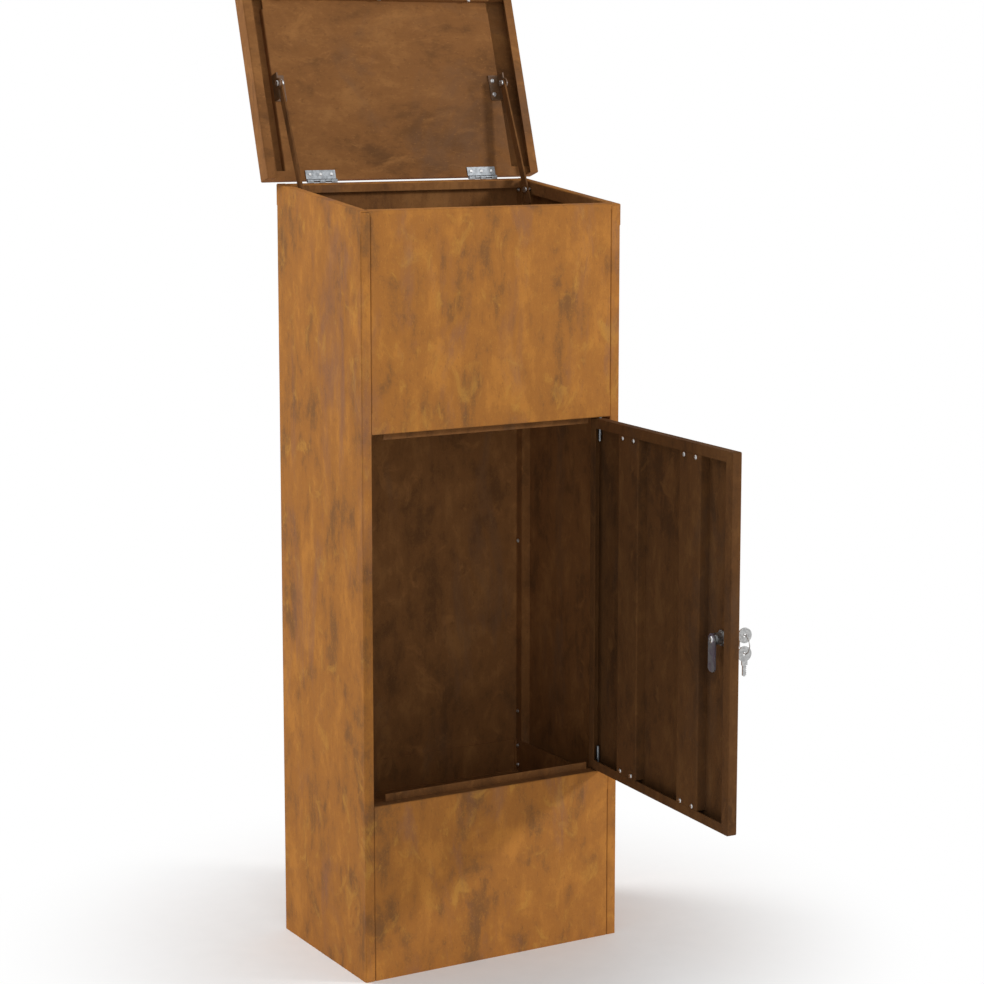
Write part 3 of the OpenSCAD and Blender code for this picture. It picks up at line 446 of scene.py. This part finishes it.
def key_mesh(values, blade_length, facets):
    """A flat key in its own plane: bow hole at the origin, blade towards +X, thickness along Z."""
    mesh = bmesh.new()
    half = values.thickness / 2
    # bow: two rings bridged into a face, then given its thickness
    outer = bmesh.ops.create_circle(mesh, segments=facets, radius=values.bow_radius,
                                    matrix=Matrix.Translation((0, 0, -half)))["verts"]
    inner = bmesh.ops.create_circle(mesh, segments=facets, radius=values.hole_radius,
                                    matrix=Matrix.Translation((0, 0, -half)))["verts"]
    edges = list({e for v in outer + inner for e in v.link_edges})
    ring = bmesh.ops.bridge_loops(mesh, edges=edges)["faces"]
    grown = bmesh.ops.extrude_face_region(mesh, geom=ring)["geom"]
    bmesh.ops.translate(mesh, verts=[g for g in grown if isinstance(g, bmesh.types.BMVert)],
                        vec=(0, 0, values.thickness))
    bmesh.ops.recalc_face_normals(mesh, faces=mesh.faces[:])

    def follows_rim(edge):
        a, b = (vert.co for vert in edge.verts)
        return (abs(abs(a.z) - half) < 1e-7 and abs(a.z - b.z) < 1e-7
                and abs(a.to_2d().length - b.to_2d().length) < 1e-5)

    rim = [edge for edge in mesh.edges if follows_rim(edge)]
    bmesh.ops.bevel(mesh, geom=rim, offset=0.0002, segments=2, affect="EDGES", profile=0.5, material=-1)

    def bar(x0, x1, y0, y1, thick, bevel):
        made = bmesh.ops.create_cube(mesh, size=1.0)["verts"]
        bmesh.ops.scale(mesh, verts=made, vec=(x1 - x0, y1 - y0, thick))
        bmesh.ops.translate(mesh, verts=made, vec=((x0 + x1) / 2, (y0 + y1) / 2, 0))
        bmesh.ops.bevel(mesh, geom=list({e for v in made for e in v.link_edges}), offset=bevel, segments=1,
                        affect="EDGES", profile=0.5, material=-1)

    neck = values.bow_radius + 0.005
    bar(values.bow_radius - 0.002, neck, -0.0045, 0.0045, values.thickness * 0.98, 0.0002)
    low, high = -values.blade_width / 2, values.blade_width / 2
    # blade: a grid whose lower edge is pushed up between the teeth, then thickened
    start, tip = neck - 0.001, neck + blade_length
    steps = values.cuts * 2 + 2
    sheet = bmesh.ops.create_grid(mesh, x_segments=steps, y_segments=1, size=0.5)["verts"]
    for vert in sheet:
        step = round((vert.co.x + 0.5) * steps)
        upper = vert.co.y > 0
        end = 0.0016 if step == steps else 0.0
        cut = 0.0 if upper or step == steps or step % 2 == 0 else 0.0011 + 0.0007 * ((step * 7) % 3) / 2
        vert.co = (start + (tip - start) * step / steps, high - end if upper else low + cut + end, -half * 0.96)
    grown = bmesh.ops.extrude_face_region(mesh, geom=list({f for v in sheet for f in v.link_faces}))["geom"]
    bmesh.ops.translate(mesh, verts=[g for g in grown if isinstance(g, bmesh.types.BMVert)],
                        vec=(0, 0, values.thickness * 0.96))
    # milled groove along the blade on both faces
    for side in (-1, 1):
        made = bmesh.ops.create_cube(mesh, size=1.0)["verts"]
        bmesh.ops.scale(mesh, verts=made, vec=(blade_length * 0.9, 0.0007, 0.0003))
        bmesh.ops.translate(mesh, verts=made, vec=(neck + blade_length * 0.45, high - 0.0014, side * half * 0.9))
    bmesh.ops.recalc_face_normals(mesh, faces=mesh.faces[:])
    return mesh


def key_object(name, mesh, axes, body, node, material):
    """The key turned to its place, with that place in its mesh."""
    bmesh.ops.transform(mesh, matrix=axes, verts=mesh.verts[:])
    data = bpy.data.meshes.new(name)
    mesh.to_mesh(data)
    mesh.free()
    data.materials.append(material)
    key = bpy.data.objects.new(name, data)
    bpy.context.scene.collection.objects.link(key)
    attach(key, body)
    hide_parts(node)
    return key


def placed(origin, x, y):
    """Matrix that puts a flat key's axes along x and y, with its bow hole at origin."""
    z = x.cross(y)
    return Matrix(((x.x, y.x, z.x, origin.x), (x.y, y.y, z.y, origin.y), (x.z, y.z, z.z, origin.z), (0, 0, 0, 1)))


# ---------------------------------------------------------------- operators

class MAILBOX_OT_rust_cabinet(bpy.types.Operator):
    """Rust patina on the cabinet's folded panels, its floor and its base, with the inner coat lightened as
    painted light
    """
    bl_idname = "mailbox.rust_cabinet"
    bl_label = "Rust the Cabinet"

    def execute(self, context):
        values = context.scene.mailbox_patina
        # tone=1.3 lightens the inside, the floor and the base as painted light, brighter than the door's inside
        assign(coated_sheet("Cabinet Rust Painted Light", values, cabinet_outside, tone=1.3), *CABINET_PANELS)
        assign(coated_sheet("Tray Rust Painted Light", values, tone=1.3), "floor_tray", "base_tray")
        return {"FINISHED"}


class MAILBOX_OT_rust_door(bpy.types.Operator):
    """Rust patina on the door and its stiffeners, with their inner coat darkened as painted shade"""
    bl_idname = "mailbox.rust_door"
    bl_label = "Rust the Door"

    def execute(self, context):
        values = context.scene.mailbox_patina
        # tone=0.66 darkens the door's inside and its stiffeners as painted shade, where the door stands out of
        # the light
        assign(coated_sheet("Door Rust Painted Shade", values, door_outside, tone=0.66), "door_panel")
        assign(coated_sheet("Stiffener Rust Painted Shade", values, tone=0.66), "hinge_side_stiffener", "lock_side_stiffener")
        return {"FINISHED"}


class MAILBOX_OT_rust_lid(bpy.types.Operator):
    """Rust patina on the lid, its liner, its front rail and the stays, with the lid's inner coat lightened as
    painted light
    """
    bl_idname = "mailbox.rust_lid"
    bl_label = "Rust the Lid"

    def execute(self, context):
        values = context.scene.mailbox_patina
        # tone=1.45 lightens the lid's underside, liner and rail as painted light, where the key light falls on
        # them
        assign(coated_sheet("Lid Rust Painted Light", values, lid_outside, (0.35, 1, 1), tone=1.45),
               "lid_panel", "lid_liner", "lid_front_rail")
        assign(coated_sheet("Stay Rust", values, None, (2, 2, 1)), "left_lid_stay", "right_lid_stay")
        return {"FINISHED"}


class MAILBOX_OT_finish_hardware(bpy.types.Operator):
    """Plating on the hinges, screws, pins and lock, and dark steel on the brackets and the cam"""
    bl_idname = "mailbox.finish_hardware"
    bl_label = "Finish the Hardware"

    def execute(self, context):
        values = context.scene.mailbox_hardware
        dull = lambda c, f: [x * f for x in c]
        assign(plated("Zinc Plate", values.zinc, dull(values.zinc, 0.68), 300.0, 0.3),
               "left_hinge_fixed_leaf", "right_hinge_fixed_leaf", "left_hinge_lid_leaf", "right_hinge_lid_leaf",
               "hinge_pins", "door_pivot_top", "door_pivot_bottom")
        assign(plated("Bright Screw", values.screw, dull(values.screw, 0.75), 600.0, 0.22), *SCREWS)
        assign(plated("Nickel", values.nickel, dull(values.nickel, 0.7), 500.0, 0.28),
               "lock_body", "lock_nut", "lock_plug", "key_ring")
        assign(blued_steel("Blued Cam", values.cam, (0.19, 0.15, 0.19), 0.85), "lock_cam")
        assign(blued_steel("Dark Bracket", values.bracket, (0.15, 0.07, 0.028), 0.1),
               "left_stay_bracket", "right_stay_bracket")
        assign(moulded_nylon("Nylon", values.nylon), "pivot_washer")
        return {"FINISHED"}


class MAILBOX_OT_cut_keys(bpy.types.Operator):
    """The key in the lock and the spare key on its ring"""
    bl_idname = "mailbox.cut_keys"
    bl_label = "Cut the Keys"

    def execute(self, context):
        values = context.scene.mailbox_keys
        finish = plated("Key Nickel", context.scene.mailbox_hardware.nickel,
                        [x * 0.72 for x in context.scene.mailbox_hardware.nickel], 450.0, 0.3)
        down = Vector((0, 0, -1))
        neck = values.bow_radius + 0.005
        key_object("lock_key", key_mesh(values, 0.041 - neck, 40), placed(KEY_HOLE, DOOR_IN, Vector((0, 0, 1))),
                   "lock", "key", finish)
        ring_low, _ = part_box("key_ring")
        spare_hole = Vector((KEY_HOLE.x, KEY_HOLE.y, ring_low.z + RING_WIRE))
        key_object("ring_key", key_mesh(values, 0.015, 40), placed(spare_hole, down, DOOR_IN),
                   "spare", "spare_key", finish)
        return {"FINISHED"}


class MAILBOX_OT_set_stage(bpy.types.Operator):
    """Pale floor, soft light and the camera"""
    bl_idname = "mailbox.set_stage"
    bl_label = "Set the Stage"

    def execute(self, context):
        scene = context.scene
        values = scene.mailbox_stage
        scene.view_settings.view_transform = "Standard"
        self.world(scene, values)
        self.floor(scene, values)
        self.area(scene, "Key", (4.4, -3.6, 2.6), (0, 0, 0.72), 0.9, values.key_power)
        self.area(scene, "Side", (-2.0, 1.9, 2.6), (0, 0, 0.7), 1.4, values.side_power)
        self.area(scene, "Fill", (-1.2, -4.2, 1.6), (0, 0, 0.6), 2.2, values.fill_power)
        self.camera(scene, values)
        return {"FINISHED"}

    def world(self, scene, values):
        world = bpy.data.worlds.new("Studio")
        scene.world = world
        world.use_nodes = True
        tree = world.node_tree
        background = tree.nodes["Background"]
        path = add(tree, "ShaderNodeLightPath").outputs
        seen = maths(tree, "MAXIMUM", path["Is Camera Ray"], maths(tree, "MULTIPLY", path["Is Glossy Ray"], 0.9))
        seen = maths(tree, "MAXIMUM", seen, path["Is Transmission Ray"])
        background.inputs["Color"].default_value = (1, 1, 1, 1)
        tree.links.new(ramp(tree, seen, 0.0, 1.0, values.ambient, 1.0), background.inputs["Strength"])

    def floor(self, scene, values):
        mesh = bmesh.new()
        bmesh.ops.create_circle(mesh, cap_ends=True, segments=96, radius=14.0)
        data = bpy.data.meshes.new("Floor")
        mesh.to_mesh(data)
        mesh.free()
        floor = bpy.data.objects.new("Floor", data)
        scene.collection.objects.link(floor)
        material, tree, shader, point = new_material("Floor", Roughness=0.9, Specular_IOR_Level=0.0)
        grain = noise(tree, point, 30.0, 3, 0.5)
        shade = ramp(tree, grain, 0.3, 0.7, 0.985, 1.0)
        colour = blend_colour(tree, 1.0, rgba(values.floor), shade, "MULTIPLY")
        tree.links.new(colour, shader.inputs["Base Color"])
        path = add(tree, "ShaderNodeLightPath").outputs
        distance = add(tree, "ShaderNodeVectorMath", {0: point}, operation="LENGTH").outputs["Value"]
        far = ramp(tree, distance, 0.22, 0.7)
        seen = maths(tree, "MAXIMUM", path["Is Camera Ray"], path["Is Glossy Ray"])
        glow = add(tree, "ShaderNodeEmission", {"Color": (1, 1, 1, 1), "Strength": 1.0}).outputs[0]
        faded = maths(tree, "MULTIPLY", far, seen)
        mix = add(tree, "ShaderNodeMixShader", {0: faded, 1: shader.outputs[0], 2: glow})
        tree.links.new(mix.outputs[0], tree.nodes["Material Output"].inputs["Surface"])
        data.materials.append(material)

    def area(self, scene, name, place, target, size, power):
        data = bpy.data.lights.new(name, "AREA")
        data.shape = "DISK"
        data.size = size
        data.energy = power
        lamp = bpy.data.objects.new(name, data)
        lamp.location = place
        lamp.rotation_euler = (Vector(target) - Vector(place)).to_track_quat("-Z", "Y").to_euler()
        scene.collection.objects.link(lamp)

    def camera(self, scene, values):
        data = bpy.data.cameras.new("Camera")
        data.sensor_width = 36.0
        data.lens = values.lens
        data.shift_y = -0.05
        data.clip_end = 60.0
        camera = bpy.data.objects.new("Camera", data)
        camera.location = (-1.6985, -3.0684, 1.2416)
        camera.rotation_euler = (math.pi / 2 - 0.1461, 0, -0.5232)
        scene.collection.objects.link(camera)
        scene.camera = camera


class MAILBOX_PT_tools(bpy.types.Panel):
    """The mailbox's settings and steps"""
    bl_idname = "MAILBOX_PT_tools"
    bl_label = "Parcel Mailbox"
    bl_space_type = "VIEW_3D"
    bl_region_type = "UI"
    bl_category = "Mailbox"

    def draw(self, context):
        scene = context.scene
        for group, steps in ((scene.mailbox_patina, STEPS[0:3]), (scene.mailbox_hardware, STEPS[3:4]),
                             (scene.mailbox_keys, STEPS[4:5]), (scene.mailbox_stage, STEPS[5:6])):
            box = self.layout.box()
            for key in group.bl_rna.properties.keys():
                if key not in ("rna_type", "name"):
                    box.prop(group, key)
            for step in steps:
                box.operator(step.bl_idname)


STEPS = (MAILBOX_OT_rust_cabinet, MAILBOX_OT_rust_door, MAILBOX_OT_rust_lid, MAILBOX_OT_finish_hardware,
         MAILBOX_OT_cut_keys, MAILBOX_OT_set_stage)
SETTINGS = (("mailbox_patina", PatinaSettings), ("mailbox_hardware", HardwareSettings),
            ("mailbox_keys", KeySettings), ("mailbox_stage", StageSettings))


def register():
    for name, group in SETTINGS:
        bpy.utils.register_class(group)
        setattr(bpy.types.Scene, name, bpy.props.PointerProperty(type=group))
    for step in STEPS:
        bpy.utils.register_class(step)
    bpy.utils.register_class(MAILBOX_PT_tools)


def unregister():
    bpy.utils.unregister_class(MAILBOX_PT_tools)
    for step in reversed(STEPS):
        bpy.utils.unregister_class(step)
    for name, group in reversed(SETTINGS):
        delattr(bpy.types.Scene, name)
        bpy.utils.unregister_class(group)


def main():
    register()
    for step in STEPS:
        area, name = step.bl_idname.split(".")
        getattr(getattr(bpy.ops, area), name)()


if __name__ == "__main__":
    main()
